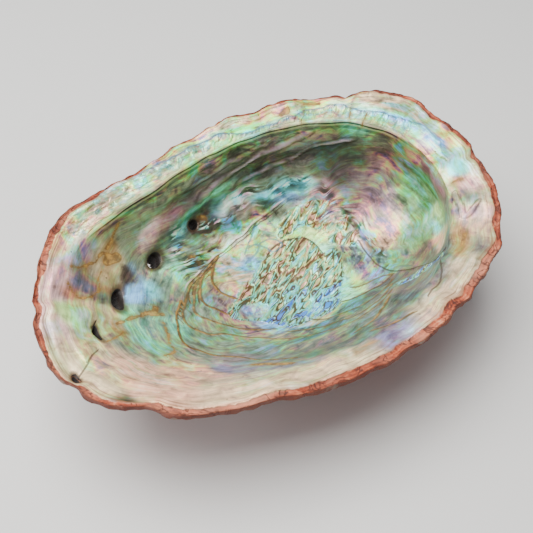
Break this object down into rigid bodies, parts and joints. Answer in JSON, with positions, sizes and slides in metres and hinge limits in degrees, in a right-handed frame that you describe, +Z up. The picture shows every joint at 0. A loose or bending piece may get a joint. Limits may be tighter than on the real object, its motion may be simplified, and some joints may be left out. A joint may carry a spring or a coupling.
{
  "type": "abalone shell",
  "caption": "Open ear-shaped sea shell with an iridescent nacre bowl, a flat inner shelf, a row of breathing holes and a rough red rim, lying on its back.",
  "frame": {"origin": "on the surface that the shell stands on, under the middle of its outline in plan", "axes": "+X towards the spire end, +Y towards the flat inner shelf, +Z up out of the bowl"},
  "size_m": [0.201, 0.1364, 0.0603],
  "materials": {
    "shell": "polished iridescent nacre inside, rough brick-red layers outside"
  },
  "bodies": {
    "root": {"shell": "shell"}
  },
  "joints": []
}
